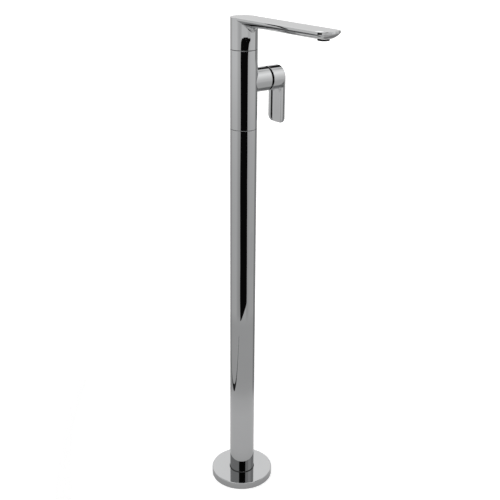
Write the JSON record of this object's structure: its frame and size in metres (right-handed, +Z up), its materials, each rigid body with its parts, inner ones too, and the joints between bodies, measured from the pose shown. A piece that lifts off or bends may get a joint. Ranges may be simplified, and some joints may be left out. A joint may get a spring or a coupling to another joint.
{
  "type": "floor-standing basin mixer",
  "caption": "Tall round chrome column mixer for a basin: covered floor plate, side lever on a round boss, flat swivelling spout with a rounded belly and an aerator.",
  "frame": {"origin": "on the column axis at floor level, at the centre of the bolt circle of the floor plate", "axes": "+Z up along the column, -Y along the spout at rest, +X along the lever boss"},
  "size_m": [0.1579, 0.3153, 1.051],
  "materials": {
    "chrome_shell": "mirror-bright plating",
    "seal_rubber": "soft black rubber",
    "plain_brass": "turned brass",
    "stainless": "plain stainless steel",
    "base_steel": "zinc plated steel",
    "hose_braid": "hose with a fine steel braid on its skin",
    "valve_ceramic": "lapped ceramic",
    "cartridge_plastic": "moulded plastic",
    "spacer_plastic": "white foam-like plastic",
    "dark_plastic": "black moulded plastic",
    "aerator_plastic": "grey moulded plastic",
    "chrome_plug": "plated plastic plug"
  },
  "bodies": {
    "column": {"floor_base_plate": "base_steel", "cover_flange": "chrome_shell", "column_foot_seal": "seal_rubber", "base_grub_screws": "stainless", "column_tube": "chrome_shell", "column_coupling": "plain_brass", "column_joint_ring": "dark_plastic", "hose_spacers": "spacer_plastic", "hot_supply_hose": "hose_braid", "cold_supply_hose": "hose_braid", "hot_inlet_nut": "plain_brass", "cold_inlet_nut": "plain_brass", "hose_end_collars": "plain_brass", "hose_crimp_sleeves": "stainless", "inlet_washers": "seal_rubber", "hose_tails": "plain_brass", "hose_tail_seals": "seal_rubber", "valve_body": "chrome_shell", "cartridge_base": "cartridge_plastic", "cartridge_port_seals": "seal_rubber", "fixed_ceramic_disc": "valve_ceramic", "cartridge_housing": "cartridge_plastic", "cartridge_nut": "plain_brass", "boss_dome": "dark_plastic", "spout_spigot": "plain_brass", "spigot_base_seal": "seal_rubber", "spigot_seals": "seal_rubber", "swivel_glide_ring": "dark_plastic"},
    "turret": {"cartridge_turret": "cartridge_plastic", "turret_pin": "stainless"},
    "sliding_disc": {"moving_ceramic_disc": "valve_ceramic", "disc_carrier": "cartridge_plastic"},
    "lever": {"lever_stem": "stainless", "lever_handle": "chrome_shell", "lever_grub_screw": "stainless", "lever_screw_plug": "chrome_plug"},
    "spout": {"spout_body": "chrome_shell", "spout_retaining_screw": "stainless", "aerator_housing": "dark_plastic", "aerator_insert": "aerator_plastic", "aerator_gasket": "seal_rubber"}
  },
  "joints": [
    {"name": "spout_swivel", "type": "hinge", "parent": "column", "child": "spout", "pos_m": [0, 0, 0.99], "axis": [0, 0, 1], "range_deg": [-60, 60]},
    {"name": "temperature_turn", "type": "hinge", "parent": "column", "child": "turret", "pos_m": [0.04, 0, 0.9265], "axis": [1, 0, 0], "range_deg": [-45, 45]},
    {"name": "lever_lift", "type": "hinge", "parent": "turret", "child": "lever", "pos_m": [0.03295, 0, 0.9265], "axis": [0, -1, 0], "range_deg": [0, 22]},
    {"name": "disc_slide", "type": "slide", "parent": "turret", "child": "sliding_disc", "axis": [0, 0, -1], "range_m": [0, 0.003]}
  ],
  "couplings": [
    {"joint": "disc_slide", "follows": "lever_lift", "m_per_rad": 0.0073}
  ]
}
